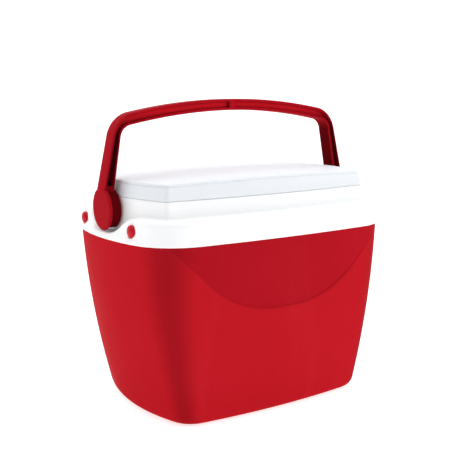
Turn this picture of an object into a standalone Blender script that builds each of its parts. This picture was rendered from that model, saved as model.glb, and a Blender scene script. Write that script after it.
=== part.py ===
"""Personal cooler with a lift-off lid and a folding carry handle.

Metres, +Z up, the length along X, the front towards -Y, the base standing on Z = 0.
"""

import math

import bmesh
import bpy

# ---- driving dimensions -------------------------------------------------------------------
GAP = 0.0003                    # space left between two pieces that touch

# Plan outlines: half length, half depth, front bow, end bow, corner radius
TUB_TOP = (0.1420, 0.1022, 0.0092, 0.0207, 0.0495)
TUB_FOOT = (0.1166, 0.0874, 0.0090, 0.0200, 0.0275)
RIM = (0.1262, 0.0822, 0.0084, 0.0176, 0.0060)
LINER_FOOT = (0.0960, 0.0660, 0.0070, 0.0140, 0.0220)

SEAM_Z = 0.1703                 # lower edge of the collar on the tub
TUB_WALL = 0.0026
TUB_RIM_Z = 0.1870              # tub edge hidden inside the collar
FOOT_RADIUS = 0.0080
TAPER_A = (0.0547, 0.554)       # linear and square terms of the tub's narrowing in length
TAPER_B = (0.0548, 0.187)       # the same in depth

COLLAR_WALL = 0.0020
BAND_PROUD = 0.0021
END_NIP = 0.0052                # how far the collar's ends draw in above the seam
NIP_RISE = 0.0105               # height over which they draw in
NIP_HALF = (0.0460, 0.0780)     # half depth with the full draw-in, and with none
LEDGE_Z = 0.1915
COLLAR_TOP_Z = 0.2076
MOUTH_INSET = 0.0105            # from the rim outline to the liner's outer wall

LINER_WALL = 0.0018
LINER_FLOOR_Z = 0.0190
LINER_FOOT_RADIUS = 0.0040
LINER_LIP_Z = (0.2079, 0.2096)
LINER_LIP = 0.0055

LID_Z = 0.2081                  # lower edge of the lid's skirt
LID_CORNER_Z = 0.2213
LID_ARCH = 0.0031               # rise along the length
LID_CROWN = 0.0010              # rise along the depth
LID_DRAFT = 0.0036
LID_WALL = 0.0020
PLUG_Z = 0.2005                 # lowest face of the plug under the lid
PLUG_FLANGE_Z = 0.2101

PIVOT_Z = 0.1960
BOSS_R = 0.0198
BOSS_X = (0.1275, 0.1405)
AXLE_R = 0.0060
GRIP_W = 0.0176                 # handle width along Y
GRIP_TOP_Z = 0.2948
GRIP_LOW_Z = 0.2838
GRIP_ARCH = 0.92                # the grip drops by this times x squared
FLANGE = 0.0024                 # flange of the handle's I section
WEB = 0.0062                    # web of the handle's I section

BAY_FLOOR_Z = 0.1752
BAY_FLAT = 0.0140
BAY_HALF = 0.0480

STUD_Y = 0.0524
STUD_Z = 0.1812
STUD_R = 0.0059

SMILE_LOW_Z = 0.1035            # lowest point of the recessed panel
SMILE_STEP = 0.0014             # depth of the panel at its lower edge

SIDE_STEPS = 5                  # outline points per quarter: front and end runs, then corner
ARC_STEPS = 6


# ---- scene helpers ------------------------------------------------------------------------
def clear():
    for thing in list(bpy.data.objects):
        bpy.data.objects.remove(thing, do_unlink=True)
    for group in list(bpy.data.collections):
        bpy.data.collections.remove(group)


def collection(name):
    group = bpy.data.collections.new(name)
    bpy.context.scene.collection.children.link(group)
    return group


def material(name, colour, roughness):
    mat = bpy.data.materials.new(name)
    mat.use_nodes = True
    shader = mat.node_tree.nodes["Principled BSDF"]
    shader.inputs["Base Color"].default_value = (*colour, 1.0)
    shader.inputs["Roughness"].default_value = roughness
    return mat


def move_to(thing, group):
    for old in list(thing.users_collection):
        old.objects.unlink(thing)
    group.objects.link(thing)


def mesh_object(name, verts, faces, group):
    mesh = bpy.data.meshes.new(name)
    mesh.from_pydata(verts, [], faces)
    bm = bmesh.new()
    bm.from_mesh(mesh)
    bmesh.ops.recalc_face_normals(bm, faces=bm.faces)
    bm.to_mesh(mesh)
    bm.free()
    thing = bpy.data.objects.new(name, mesh)
    group.objects.link(thing)
    return thing


def apply_modifiers(thing):
    bpy.context.view_layer.update()
    graph = bpy.context.evaluated_depsgraph_get()
    mesh = bpy.data.meshes.new_from_object(thing.evaluated_get(graph))
    thing.modifiers.clear()
    thing.data = mesh


def boolean(thing, other, operation, solver="EXACT"):
    mod = thing.modifiers.new(operation.lower(), "BOOLEAN")
    mod.object = other
    mod.operation = operation
    mod.solver = solver
    apply_modifiers(thing)


def cut(thing, *cutters, solver="EXACT"):
    for cutter in cutters:
        boolean(thing, cutter, "DIFFERENCE", solver)


def bevel(thing, width, segments, angle=40.0):
    mod = thing.modifiers.new("edge", "BEVEL")
    mod.width = width
    mod.segments = segments
    mod.limit_method = "ANGLE"
    mod.angle_limit = math.radians(angle)
    mod.use_clamp_overlap = True
    apply_modifiers(thing)


def finish(thing, mat, angle=32.0):
    thing.data.materials.clear()
    thing.data.materials.append(mat)
    for face in thing.data.polygons:
        face.material_index = 0
    thing.data.shade_smooth()
    thing.data.set_sharp_from_angle(angle=math.radians(angle))


# ---- plan outlines ------------------------------------------------------------------------
def grown(plan, by):
    a, b, front_bow, end_bow, radius = plan
    return (a + by, b + by, front_bow, end_bow, max(radius + by, 0.0015))


def blended(low, high, t):
    return tuple(p + (q - p) * t for p, q in zip(low, high))


def front_y(plan, x):
    return -(plan[1] - plan[2] * (x / plan[0]) ** 2)


def end_x(plan, y):
    return -(plan[0] - plan[3] * (y / plan[1]) ** 2)


def fillet_touch(plan):
    """Where the corner radius meets the bowed front and the bowed end."""
    a, b, front_bow, end_bow, radius = plan
    x = -(a - end_bow - radius)
    y = -(b - front_bow - radius)
    for _ in range(60):
        slope_f = 2 * front_bow * x / a ** 2
        slope_e = 2 * end_bow * y / b ** 2
        len_f = math.hypot(slope_f, 1.0)
        len_e = math.hypot(slope_e, 1.0)
        centre_x = end_x(plan, y) + radius / len_e
        centre_y = front_y(plan, x) + radius / len_f
        x = centre_x + radius * slope_f / len_f
        y = centre_y + radius * slope_e / len_e
    return x, y, centre_x, centre_y


def outline(plan):
    """Closed plan outline with the same number of points for every plan."""
    radius = plan[4]
    x0, y0, centre_x, centre_y = fillet_touch(plan)
    start = math.atan2(front_y(plan, x0) - centre_y, x0 - centre_x)
    end = math.atan2(y0 - centre_y, end_x(plan, y0) - centre_x)
    if start > 0:
        start -= 2 * math.pi
    if end > 0:
        end -= 2 * math.pi
    quarter = []
    for i in range(SIDE_STEPS):
        x = x0 * i / SIDE_STEPS
        quarter.append((x, front_y(plan, x)))
    for i in range(ARC_STEPS):
        turn = start + (end - start) * i / ARC_STEPS
        quarter.append((centre_x + radius * math.cos(turn), centre_y + radius * math.sin(turn)))
    for i in range(SIDE_STEPS + 1):
        y = y0 * (1 - i / SIDE_STEPS)
        quarter.append((end_x(plan, y), y))
    back = [(x, -y) for x, y in reversed(quarter)][1:]
    half = quarter + back
    other = [(-x, y) for x, y in reversed(half)][1:-1]
    return half + other


def ring(plan, z):
    return [(x, y, z) for x, y in outline(plan)]


def eased(t):
    t = min(max(t, 0.0), 1.0)
    return t * t * (3 - 2 * t)


def nip(y, z):
    """How far the collar's end is drawn in at this place."""
    across = eased((NIP_HALF[1] - abs(y)) / (NIP_HALF[1] - NIP_HALF[0]))
    return END_NIP * across * eased((z - SEAM_Z) / NIP_RISE)


def nipped_ring(plan, z):
    return [(x - math.copysign(nip(y, z), x), y, z) for x, y in outline(plan)]


def loft(name, rings, group):
    """Closed skin through rings of equal count, with both end rings filled."""
    count = len(rings[0])
    verts = [point for loop in rings for point in loop]
    faces = []
    for level in range(len(rings) - 1):
        base = level * count
        for i in range(count):
            j = (i + 1) % count
            faces.append((base + i, base + j, base + count + j, base + count + i))
    faces.append(tuple(reversed(range(count))))
    faces.append(tuple(range((len(rings) - 1) * count, len(rings) * count)))
    return mesh_object(name, verts, faces, group)


# ---- tub ----------------------------------------------------------------------------------
def tub_plan(z):
    drop = max(SEAM_Z - z, 0.0)
    t = drop / SEAM_Z
    plan = list(blended(TUB_TOP, TUB_FOOT, t))
    plan[0] = TUB_TOP[0] - TAPER_A[0] * drop - TAPER_A[1] * drop ** 2
    plan[1] = TUB_TOP[1] - TAPER_B[0] * drop - TAPER_B[1] * drop ** 2
    return tuple(plan)


def bowl_rings(inset, foot_z, radius, top_z):
    """Rings of the tub's form drawn in by inset, from a rounded foot up to top_z."""
    rings = []
    for i in range(5):
        turn = math.radians(90.0 * i / 4)
        z = foot_z + radius * (1 - math.cos(turn))
        draw_in = inset + radius * (1 - math.sin(turn))
        rings.append(ring(grown(tub_plan(z), -draw_in), z))
    low = foot_z + radius
    for i in range(1, 9):
        z = low + (SEAM_Z - low) * i / 8
        rings.append(ring(grown(tub_plan(z), -inset), z))
    if top_z > SEAM_Z:
        for z in (SEAM_Z + 0.0035, SEAM_Z + 0.0070, SEAM_Z + NIP_RISE, top_z):
            rings.append(nipped_ring(grown(tub_plan(z), -inset), z))
    return rings


def smile_z(x):
    return SMILE_LOW_Z + 0.0118 * (abs(x) / 0.0565) ** 2.55


def smile_cutter(group):
    """Slab whose inner face follows the front, flush at the seam and deepest at its foot."""
    columns = 24
    rows = 6
    half = 0.1110
    near = []
    far = []
    for i in range(columns + 1):
        x = half * (2 * i / columns - 1)
        low = min(smile_z(x), SEAM_Z - 0.004)
        for j in range(rows + 1):
            z = low + (SEAM_Z - low) * j / rows
            depth = SMILE_STEP * (1 - (z - SMILE_LOW_Z) / (SEAM_Z - SMILE_LOW_Z)) + 0.00008
            y = front_y(tub_plan(z), x)
            near.append((x, y - 0.004, z))
            far.append((x, y + depth, z))
    count = rows + 1
    size = len(near)
    faces = []
    for i in range(columns):
        for j in range(rows):
            a = i * count + j
            b = a + count
            faces.append((a, b, b + 1, a + 1))
            faces.append((size + a, size + a + 1, size + b + 1, size + b))
        low_a = i * count
        low_b = low_a + count
        top_a = low_a + rows
        top_b = low_b + rows
        faces.append((low_a, size + low_a, size + low_b, low_b))
        faces.append((top_a, top_b, size + top_b, size + top_a))
    for j in range(rows):
        last = columns * count + j
        faces.append((j, j + 1, size + j + 1, size + j))
        faces.append((last, size + last, size + last + 1, last + 1))
    return mesh_object("smile_cutter", near + far, faces, group)


def mirrored_y(thing, name, group):
    verts = [(v.co.x, -v.co.y, v.co.z) for v in thing.data.vertices]
    faces = [tuple(reversed(f.vertices)) for f in thing.data.polygons]
    return mesh_object(name, verts, faces, group)


def bay_floor(y):
    share = eased((abs(y) - BAY_FLAT) / (BAY_HALF - BAY_FLAT))
    return BAY_FLOOR_Z + (LEDGE_Z + 0.0016 - BAY_FLOOR_Z) * share


def bay_cutter(name, side, wall, group):
    """Room for the handle boss at one end, grown by a wall thickness where asked."""
    steps = 24
    span = BAY_HALF + wall
    rings = []
    for i in range(steps + 1):
        y = span * (2 * i / steps - 1)
        back = side * -(end_x(RIM, y) + GAP + wall)
        if wall == 0:
            back = side * (-end_x(RIM, y) + GAP)
        low = bay_floor(y * BAY_HALF / span) - wall * 1.15
        out = side * 0.160
        rings.append([(back, y, low), (out, y, low), (out, y, 0.240), (back, y, 0.240)])
    return loft(name, rings, group)


def build_tub(parts, cutters):
    outer = bowl_rings(0.0, 0.0, FOOT_RADIUS, TUB_RIM_Z)
    inner = bowl_rings(TUB_WALL, TUB_WALL, FOOT_RADIUS - 0.0015, TUB_RIM_Z)
    tub = loft("outer_tub", outer + inner[::-1], parts)
    front = smile_cutter(cutters)
    cut(tub, front, mirrored_y(front, "smile_cutter_rear", cutters))
    return tub


# ---- collar -------------------------------------------------------------------------------
def build_collar(parts, cutters):
    band = TUB_TOP
    wall = COLLAR_WALL
    outer = [
        ring(grown(band, BAND_PROUD - 0.0005), SEAM_Z),
        ring(grown(band, BAND_PROUD), SEAM_Z + 0.0006),
        nipped_ring(grown(band, BAND_PROUD - 0.0001), SEAM_Z + 0.0035),
        nipped_ring(grown(band, BAND_PROUD - 0.0002), SEAM_Z + 0.0070),
        nipped_ring(grown(band, BAND_PROUD - 0.0004), SEAM_Z + NIP_RISE),
        nipped_ring(grown(band, BAND_PROUD - 0.0006), LEDGE_Z - 0.0042),
        nipped_ring(grown(band, BAND_PROUD - 0.0011), LEDGE_Z - 0.0020),
        nipped_ring(grown(band, BAND_PROUD - 0.0024), LEDGE_Z - 0.0006),
        nipped_ring(grown(band, BAND_PROUD - 0.0045), LEDGE_Z),
        ring(grown(RIM, 0.0022), LEDGE_Z + 0.0008),
        ring(grown(RIM, 0.0006), LEDGE_Z + 0.0024),
        ring(grown(RIM, 0.0), LEDGE_Z + 0.0050),
        ring(grown(RIM, -0.0003), COLLAR_TOP_Z - 0.0008),
        ring(grown(RIM, -0.0011), COLLAR_TOP_Z),
    ]
    inner = [
        ring(grown(band, GAP), SEAM_Z - 0.004),
        ring(grown(band, GAP), SEAM_Z),
        nipped_ring(grown(band, 2 * GAP), SEAM_Z + 0.0035),
        nipped_ring(grown(band, 2 * GAP), SEAM_Z + 0.0070),
        nipped_ring(grown(band, 2 * GAP), SEAM_Z + NIP_RISE),
        nipped_ring(grown(band, 2 * GAP), LEDGE_Z - 0.0036),
        nipped_ring(grown(band, 2 * GAP - 0.0014), LEDGE_Z - 0.0022),
        ring(grown(RIM, 0.0006), LEDGE_Z - 0.0014),
        ring(grown(RIM, -wall), LEDGE_Z + 0.0010),
        ring(grown(RIM, -wall - 0.0004), COLLAR_TOP_Z - 0.0022),
    ]
    collar = loft("collar", outer, parts)
    hollow = loft("collar_hollow", inner, cutters)
    mouth_plan = grown(RIM, -MOUTH_INSET + GAP)
    mouth = loft("collar_mouth", [ring(mouth_plan, 0.16), ring(mouth_plan, 0.23)], cutters)
    for side, label in ((-1, "left"), (1, "right")):
        cut(collar, bay_cutter("bay_" + label, side, 0.0, cutters))
        cut(hollow, bay_cutter("bay_wall_" + label, side, wall, cutters))
    cut(collar, hollow, mouth)
    return collar


def axle_cutter(name, radius, cutters):
    bpy.ops.mesh.primitive_cylinder_add(vertices=32, radius=radius, depth=0.30)
    drill = bpy.context.active_object
    drill.name = name
    drill.rotation_euler = (0.0, math.radians(90.0), 0.0)
    drill.location = (0.0, 0.0, PIVOT_Z)
    move_to(drill, cutters)
    return drill


# ---- studs --------------------------------------------------------------------------------
def stud_place(side_x, side_y):
    """Point on the drawn-in end of the collar and the outward direction there."""
    plan = grown(TUB_TOP, BAND_PROUD - 0.0004)

    def end_at(y):
        return end_x(plan, y) + nip(y, SEAM_Z + NIP_RISE)

    y = side_y * STUD_Y
    slope = (end_at(y + 0.0005) - end_at(y - 0.0005)) / 0.001
    turn = math.atan2(slope, -1.0)
    if side_x > 0:
        return -end_at(y), y, math.pi - turn
    return end_at(y), y, turn


def build_stud(name, place, parts):
    x, y, turn = place
    profile = [
        (0.0, 0.0043), (0.0020, 0.00412), (0.0038, 0.0036), (0.0050, 0.0029), (0.0057, 0.0021),
        (STUD_R, 0.0013), (STUD_R, GAP), (0.0022, GAP), (0.0022, -0.0062),
        (0.0027, -0.0068), (0.0015, -0.0098), (0.0, -0.0098),
    ]
    mesh = bpy.data.meshes.new(name)
    bm = bmesh.new()
    points = [bm.verts.new((r, 0.0, z)) for r, z in profile]
    for a, b in zip(points, points[1:]):
        bm.edges.new((a, b))
    bm.to_mesh(mesh)
    bm.free()
    stud = bpy.data.objects.new(name, mesh)
    parts.objects.link(stud)
    spin = stud.modifiers.new("spin", "SCREW")
    spin.axis = "Z"
    spin.steps = 28
    spin.render_steps = 28
    spin.use_merge_vertices = True
    spin.merge_threshold = 0.00005
    apply_modifiers(stud)
    bm = bmesh.new()
    bm.from_mesh(stud.data)
    bmesh.ops.recalc_face_normals(bm, faces=bm.faces)
    bm.to_mesh(stud.data)
    bm.free()
    stud.rotation_euler = (0.0, math.radians(90.0), turn)
    stud.location = (x, y, STUD_Z)
    return stud


def stud_drill(name, place, radius, low, high, cutters):
    """Cylinder on the stud's axis, from low to high along the outward direction."""
    x, y, turn = place
    middle = (low + high) / 2
    bpy.ops.mesh.primitive_cylinder_add(vertices=28, radius=radius, depth=high - low)
    drill = bpy.context.active_object
    drill.name = name
    drill.rotation_euler = (0.0, math.radians(90.0), turn)
    drill.location = (x + middle * math.cos(turn), y + middle * math.sin(turn), STUD_Z)
    move_to(drill, cutters)
    return drill


# ---- liner and foam -----------------------------------------------------------------------
def liner_plan(z, inset):
    t = (z - LINER_FLOOR_Z) / (COLLAR_TOP_Z - LINER_FLOOR_Z)
    mouth = grown(RIM, -MOUTH_INSET)
    return grown(blended(LINER_FOOT, mouth, t), -inset)


def liner_rings(inset, floor_z, radius, top_z):
    rings = []
    for i in range(4):
        turn = math.radians(90.0 * i / 3)
        z = floor_z + radius * (1 - math.cos(turn))
        rings.append(ring(liner_plan(z, inset + radius * (1 - math.sin(turn))), z))
    for i in range(1, 4):
        z = floor_z + radius + (top_z - floor_z - radius) * i / 3
        rings.append(ring(liner_plan(z, inset), z))
    return rings


def build_liner(parts):
    low, high = LINER_LIP_Z
    plan = grown(RIM, -MOUTH_INSET)
    radius = LINER_FOOT_RADIUS
    wall = liner_rings(0.0, LINER_FLOOR_Z, radius, COLLAR_TOP_Z)
    cavity = liner_rings(LINER_WALL, LINER_FLOOR_Z + LINER_WALL, radius - 0.0016, COLLAR_TOP_Z)
    lip = [
        ring(plan, low),
        ring(grown(plan, LINER_LIP), low),
        ring(grown(plan, LINER_LIP), high - 0.0006),
        ring(grown(plan, LINER_LIP - 0.0006), high),
        ring(grown(plan, -0.0004), high),
        ring(grown(plan, -LINER_WALL), high - 0.0010),
    ]
    return loft("inner_liner", wall + lip + cavity[::-1], parts)


def build_body_foam(parts):
    top_z = SEAM_Z - 0.0006
    outer = bowl_rings(TUB_WALL + SMILE_STEP + GAP, TUB_WALL + GAP, FOOT_RADIUS, SEAM_Z)
    outer[-1] = ring(grown(tub_plan(top_z), -TUB_WALL - SMILE_STEP - GAP), top_z)
    inner = liner_rings(-GAP, LINER_FLOOR_Z - GAP, LINER_FOOT_RADIUS, top_z)
    return loft("body_insulation", outer + inner[::-1], parts)


# ---- lid ----------------------------------------------------------------------------------
def crowned(plan, scale, drop):
    """Ring of the arched lid top, shrunk towards the middle by scale."""
    half_a = RIM[0] - LID_DRAFT
    half_b = RIM[1] - LID_DRAFT
    points = []
    for x, y in outline(plan):
        x *= scale
        y *= scale
        arch = LID_ARCH * (1 - min(abs(x) / half_a, 1.0) ** 2)
        crown = LID_CROWN * (1 - min(abs(y) / half_b, 1.0) ** 2)
        points.append((x, y, LID_CORNER_Z + arch + crown - drop))
    return points


def build_lid_top(parts):
    draft = LID_DRAFT
    wall = LID_WALL
    outer = [
        ring(grown(RIM, -0.0004), LID_Z),
        ring(grown(RIM, 0.0), LID_Z + 0.0005),
        crowned(grown(RIM, -draft + 0.0002), 1.0, 0.0018),
        crowned(grown(RIM, -draft - 0.0003), 1.0, 0.0007),
        crowned(grown(RIM, -draft - 0.0013), 1.0, 0.0),
    ]
    inner = [
        ring(grown(RIM, -wall), LID_Z),
        crowned(grown(RIM, -draft - wall), 1.0, wall + 0.0014),
        crowned(grown(RIM, -draft - wall - 0.0014), 1.0, wall),
    ]
    for scale in (0.80, 0.55, 0.28):
        outer.append(crowned(grown(RIM, -draft - 0.0013), scale, 0.0))
        inner.append(crowned(grown(RIM, -draft - wall - 0.0014), scale, wall))
    return loft("lid_top", outer[::-1] + inner, parts)


def build_lid_underside(parts):
    plug = grown(RIM, -MOUTH_INSET - LINER_WALL - 0.0012)
    flange = grown(RIM, -LID_WALL - 0.0016)
    wall = LINER_WALL
    low = PLUG_FLANGE_Z
    rings = [
        ring(grown(plug, -0.0030), PLUG_Z),
        ring(grown(plug, -0.0010), PLUG_Z + 0.0009),
        ring(grown(plug, -0.0004), PLUG_Z + 0.0030),
        ring(plug, low),
        ring(flange, low),
        ring(flange, low + 0.0016),
        ring(grown(plug, -wall), low + 0.0016),
        ring(grown(plug, -wall - 0.0004), PLUG_Z + 0.0034),
        ring(grown(plug, -wall - 0.0030), PLUG_Z + 0.0018),
    ]
    return loft("lid_underside", rings, parts)


def build_lid_foam(parts):
    plug = grown(RIM, -MOUTH_INSET - LINER_WALL - 0.0012 - LINER_WALL - GAP)
    top = LID_WALL + GAP + 0.0002
    rings = [
        ring(grown(plug, -0.0034), PLUG_Z + 0.0018 + GAP),
        ring(grown(plug, -0.0006), PLUG_Z + 0.0040),
        ring(plug, PLUG_FLANGE_Z + 0.0016),
    ]
    for scale in (1.0, 0.66, 0.33):
        rings.append(crowned(grown(plug, -0.0004), scale, top))
    return loft("lid_insulation", rings, parts)


# ---- handle -------------------------------------------------------------------------------
def arm_outer(z):
    return min(0.1296 + 0.228 * (0.2600 - z), BOSS_X[1])


def arm_inner(z):
    return min(0.1262 + 0.170 * (0.2333 - z), BOSS_X[0] + 0.0022)


def fillet(before, corner, after, radius, steps):
    """Points of a round between two straight runs that meet at a corner."""
    ax, az = before[0] - corner[0], before[1] - corner[1]
    bx, bz = after[0] - corner[0], after[1] - corner[1]
    la, lb = math.hypot(ax, az), math.hypot(bx, bz)
    ax, az, bx, bz = ax / la, az / la, bx / lb, bz / lb
    half = math.acos(ax * bx + az * bz) / 2
    reach = radius / math.tan(half)
    depth = radius / math.sin(half)
    mx, mz = ax + bx, az + bz
    lm = math.hypot(mx, mz)
    cx, cz = corner[0] + mx / lm * depth, corner[1] + mz / lm * depth
    start = math.atan2(corner[1] + az * reach - cz, corner[0] + ax * reach - cx)
    end = math.atan2(corner[1] + bz * reach - cz, corner[0] + bx * reach - cx)
    points = []
    for i in range(steps + 1):
        turn = start + (end - start) * i / steps
        points.append((cx + radius * math.cos(turn), cz + radius * math.sin(turn)))
    return points, reach


def handle_path(top_z, arm, radius, foot_z, first_x=0.0):
    """Half of one handle edge, from the middle of the grip round the corner and down."""
    z = top_z
    for _ in range(40):
        x = arm(z)
        z = top_z - GRIP_ARCH * x * x
    corner = (x, z)
    before = (x - 0.010, top_z - GRIP_ARCH * (x - 0.010) ** 2)
    after = (arm(z - 0.030), z - 0.030)
    arc, reach = fillet(before, corner, after, radius, 7)
    points = []
    last = corner[0] - reach
    for i in range(7):
        px = first_x + (last - 0.004 - first_x) * i / 6
        points.append((px, top_z - GRIP_ARCH * px * px))
    points += arc
    start_z = arc[-1][1]
    for i in range(1, 6):
        pz = start_z + (foot_z - start_z) * i / 5
        points.append((arm(pz), pz))
    return points


def plate(name, points, y_low, y_high, group):
    """Flat piece cut to an outline in the XZ plane."""
    shape = bpy.data.curves.new(name, "CURVE")
    shape.dimensions = "2D"
    shape.fill_mode = "BOTH"
    shape.extrude = (y_high - y_low) / 2
    spline = shape.splines.new("POLY")
    spline.points.add(len(points) - 1)
    for slot, (x, z) in zip(spline.points, points):
        slot.co = (x, z, 0.0, 1.0)
    spline.use_cyclic_u = True
    curve = bpy.data.objects.new(name + "_curve", shape)
    group.objects.link(curve)
    bpy.context.view_layer.update()
    graph = bpy.context.evaluated_depsgraph_get()
    mesh = bpy.data.meshes.new_from_object(curve.evaluated_get(graph))
    bpy.data.objects.remove(curve, do_unlink=True)
    middle = (y_low + y_high) / 2
    bm = bmesh.new()
    bm.from_mesh(mesh)
    bmesh.ops.remove_doubles(bm, verts=bm.verts, dist=0.00002)
    for vert in bm.verts:
        x, z, y = vert.co
        vert.co = (x, middle - y, z)
    bmesh.ops.recalc_face_normals(bm, faces=bm.faces)
    bm.to_mesh(mesh)
    bm.free()
    thing = bpy.data.objects.new(name, mesh)
    group.objects.link(thing)
    return thing


def cylinder_x(name, radius, x_low, x_high, steps, group):
    bpy.ops.mesh.primitive_cylinder_add(vertices=steps, radius=radius, depth=x_high - x_low)
    thing = bpy.context.active_object
    thing.name = name
    bm = bmesh.new()
    bm.from_mesh(thing.data)
    for vert in bm.verts:
        x, y, z = vert.co
        vert.co = (z + (x_low + x_high) / 2, y, PIVOT_Z - x)
    bmesh.ops.recalc_face_normals(bm, faces=bm.faces)
    bm.to_mesh(thing.data)
    bm.free()
    move_to(thing, group)
    return thing


def build_handle(parts, cutters):
    outer = handle_path(GRIP_TOP_Z, arm_outer, 0.0285, PIVOT_Z)
    inner = handle_path(GRIP_LOW_Z, arm_inner, 0.0125, PIVOT_Z)
    right = outer[1:]
    left = [(-x, z) for x, z in reversed(right)]
    right_in = list(reversed(inner[1:]))
    left_in = [(-x, z) for x, z in inner[1:]]
    points = left + [outer[0]] + right + right_in + [inner[0]] + left_in
    handle = plate("carry_handle", points, -GRIP_W / 2, GRIP_W / 2, parts)
    bevel(handle, 0.0011, 2, 50.0)

    # pockets that leave an I section, with a rib in the middle and one above each boss
    rib_z = PIVOT_Z + BOSS_R + 0.0035
    edge_out = handle_path(GRIP_TOP_Z - FLANGE, lambda z: arm_outer(z) - FLANGE * 0.9,
                           0.0285 - FLANGE, rib_z, 0.0026)
    edge_in = handle_path(GRIP_LOW_Z + FLANGE, lambda z: arm_inner(z) + FLANGE * 0.9,
                          0.0125 + FLANGE, rib_z, 0.0026)
    pocket = edge_out + list(reversed(edge_in))
    for face in (-1, 1):
        for side in (-1, 1):
            shape = [(side * x, z) for x, z in pocket]
            near, far = sorted((face * WEB / 2, face * (GRIP_W / 2 + 0.001)))
            cut(handle, plate("pocket", shape, near, far, cutters), solver="MANIFOLD")

    for side, label in ((-1, "left"), (1, "right")):
        low, high = sorted((side * BOSS_X[0], side * BOSS_X[1]))
        boss = cylinder_x("boss_" + label, BOSS_R, low, high, 56, cutters)
        bevel(boss, 0.0018, 3, 60.0)
        boolean(handle, boss, "UNION", "MANIFOLD")
        low, high = sorted((side * 0.1218, side * (BOSS_X[0] + 0.003)))
        axle = cylinder_x("axle_" + label, AXLE_R, low, high, 32, cutters)
        boolean(handle, axle, "UNION", "MANIFOLD")
        low, high = sorted((side * 0.1204, side * 0.1226))
        lip = cylinder_x("axle_lip_" + label, AXLE_R + 0.0011, low, high, 32, cutters)
        bevel(lip, 0.0007, 1, 60.0)
        boolean(handle, lip, "UNION", "MANIFOLD")
    bm = bmesh.new()
    bm.from_mesh(handle.data)
    for vert in bm.verts:
        vert.co.z -= PIVOT_Z
    bm.to_mesh(handle.data)
    bm.free()
    handle.location = (0.0, 0.0, PIVOT_Z)
    return handle


# ---- assembly -----------------------------------------------------------------------------
def main():
    clear()
    parts = collection("personal_cooler")
    cutters = collection("cutters")

    red = (0.52, 0.012, 0.022)
    white = (0.90, 0.91, 0.92)
    foam = (0.93, 0.93, 0.91)

    tub = build_tub(parts, cutters)
    collar = build_collar(parts, cutters)
    for side, label in ((-1, "left"), (1, "right")):
        cut(tub, bay_cutter("bay_tub_" + label, side, COLLAR_WALL + 0.0010, cutters))
    cut(collar, axle_cutter("axle_hole", AXLE_R + GAP, cutters))

    places = {
        "stud_front_left": stud_place(-1, -1),
        "stud_front_right": stud_place(1, -1),
        "stud_rear_left": stud_place(-1, 1),
        "stud_rear_right": stud_place(1, 1),
    }
    for name, place in places.items():
        drill = stud_drill("drill_" + name, place, 0.0030, -0.015, 0.015, cutters)
        seat = stud_drill("seat_" + name, place, STUD_R + GAP, 0.0, 0.012, cutters)
        cut(collar, drill, seat)
        cut(tub, drill, seat)
        finish(build_stud(name, place, parts), material("red_" + name, red, 0.35))
    finish(tub, material("red_shell", red, 0.42))
    finish(collar, material("white_collar", white, 0.40))

    finish(build_body_foam(parts), material("body_foam", foam, 0.90))
    finish(build_liner(parts), material("white_liner", white, 0.40))
    finish(build_lid_top(parts), material("white_lid", white, 0.38))
    finish(build_lid_underside(parts), material("white_plug", white, 0.42))
    finish(build_lid_foam(parts), material("lid_foam", foam, 0.90))
    finish(build_handle(parts, cutters), material("red_handle", red, 0.38))

    for cutter in cutters.objects:
        cutter.hide_render = True
        cutter.display_type = "WIRE"


main()
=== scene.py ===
import math

import bmesh
import bpy
import numpy as np
from mathutils import Matrix, Vector


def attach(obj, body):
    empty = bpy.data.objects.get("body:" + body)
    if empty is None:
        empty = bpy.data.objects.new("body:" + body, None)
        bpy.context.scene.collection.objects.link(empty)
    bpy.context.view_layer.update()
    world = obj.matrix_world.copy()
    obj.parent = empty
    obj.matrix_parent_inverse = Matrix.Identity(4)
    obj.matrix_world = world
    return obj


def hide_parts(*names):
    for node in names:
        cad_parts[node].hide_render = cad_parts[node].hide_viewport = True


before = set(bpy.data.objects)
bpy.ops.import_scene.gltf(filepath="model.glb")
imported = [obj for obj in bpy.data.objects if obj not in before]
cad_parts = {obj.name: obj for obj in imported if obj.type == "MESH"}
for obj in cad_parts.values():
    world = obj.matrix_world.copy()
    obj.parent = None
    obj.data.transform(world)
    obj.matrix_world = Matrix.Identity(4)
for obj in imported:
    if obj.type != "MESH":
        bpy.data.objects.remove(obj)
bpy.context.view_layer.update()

# ---- the cooler's driving dimensions, in metres ----------------------------------------------
# plan outlines: half length, half depth, front bow, end bow, corner radius
TUB_TOP = (0.1420, 0.1022, 0.0092, 0.0207, 0.0495)
TUB_FOOT = (0.1166, 0.0874, 0.0090, 0.0200, 0.0275)
RIM = (0.1262, 0.0822, 0.0084, 0.0176, 0.0060)

# tub
SEAM_Z = 0.1703                 # where the collar's band meets the tub
TAPER_A = (0.0547, 0.554)       # draw-in of the half length below the seam: linear and square terms
TAPER_B = (0.0548, 0.187)       # the same for the half depth
FOOT_RADIUS = 0.0080
TUB_WALL = 0.0026
TUB_EDGE_Z = 0.1722
SMILE_LOW_Z = 0.1035            # lowest point of the recessed panel's edge
SMILE_RISE = 0.0118             # rise of that edge at SMILE_HALF from the middle
SMILE_HALF = 0.0565
SMILE_POWER = 2.55
SMILE_STEP = 0.0016             # depth of the recess at its lowest point
SMILE_BLEND = 0.0011            # half height of the step at the panel's edge
PANEL_MARGIN = 0.0040           # the panel's edge stops this far below the seam
FACE_Y = 0.070                  # front and back faces start this far from the middle
FOOT_ROWS = 11
LOWER_ROWS = 30
EDGE_ROWS = 8
UPPER_ROWS = 22

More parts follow.
